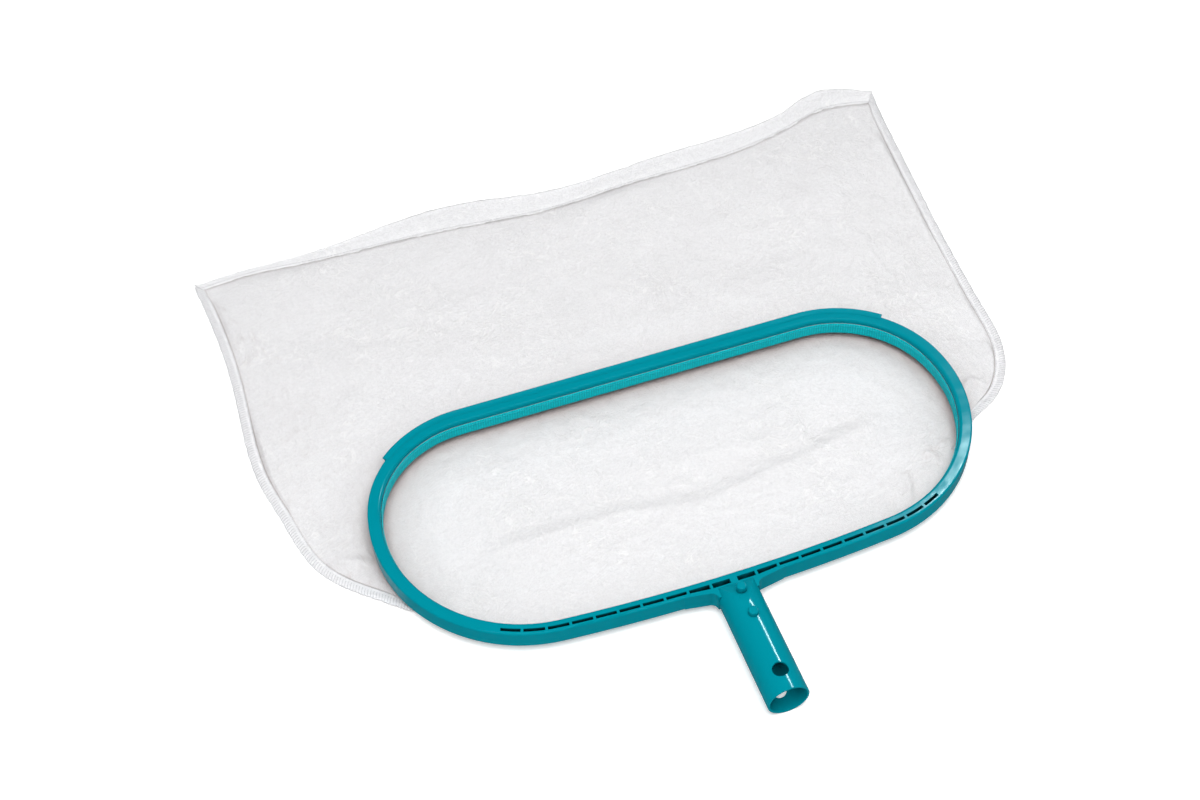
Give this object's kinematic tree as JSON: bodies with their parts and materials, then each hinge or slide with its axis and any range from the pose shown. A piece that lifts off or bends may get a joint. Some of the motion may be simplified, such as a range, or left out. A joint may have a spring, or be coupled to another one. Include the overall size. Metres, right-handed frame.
{
  "type": "leaf skimmer net",
  "caption": "Pool leaf skimmer: long rounded plastic hoop on a round pole socket, with a wide fine mesh bag hung in it and laid flat behind it.",
  "frame": {"origin": "centre of the pole socket's mouth, on the socket's axis", "axes": "+Y from the mouth along the socket to the hoop and on to the end of the bag, +X along the hoop, +Z out of the bag's mouth, square to the hoop"},
  "size_m": [0.6928, 0.6375, 0.0385],
  "materials": {
    "frame_plastic": "moulded teal polypropylene, semi gloss",
    "plug_plastic": "moulded teal polypropylene, semi gloss",
    "pin_plastic": "moulded teal polypropylene, semi gloss",
    "lip_plastic": "moulded teal polypropylene, semi gloss",
    "bead_cord": "white polyester cord",
    "hem_mesh": "fine white knitted polyester mesh",
    "bag_mesh": "fine white knitted polyester mesh",
    "seam_mesh": "overlocked plies of the same mesh"
  },
  "bodies": {
    "root": {"hoop_frame": "frame_plastic", "pole_socket": "frame_plastic", "pole_stop_plug": "plug_plastic", "stop_pins": "pin_plastic", "scoop_lip": "lip_plastic", "rim_bead": "bead_cord", "rim_hem": "hem_mesh", "net_upper_panel": "bag_mesh", "net_lower_panel": "bag_mesh", "net_front_wall": "bag_mesh", "side_seam_left": "seam_mesh", "side_seam_right": "seam_mesh", "end_hem": "seam_mesh"}
  },
  "joints": []
}
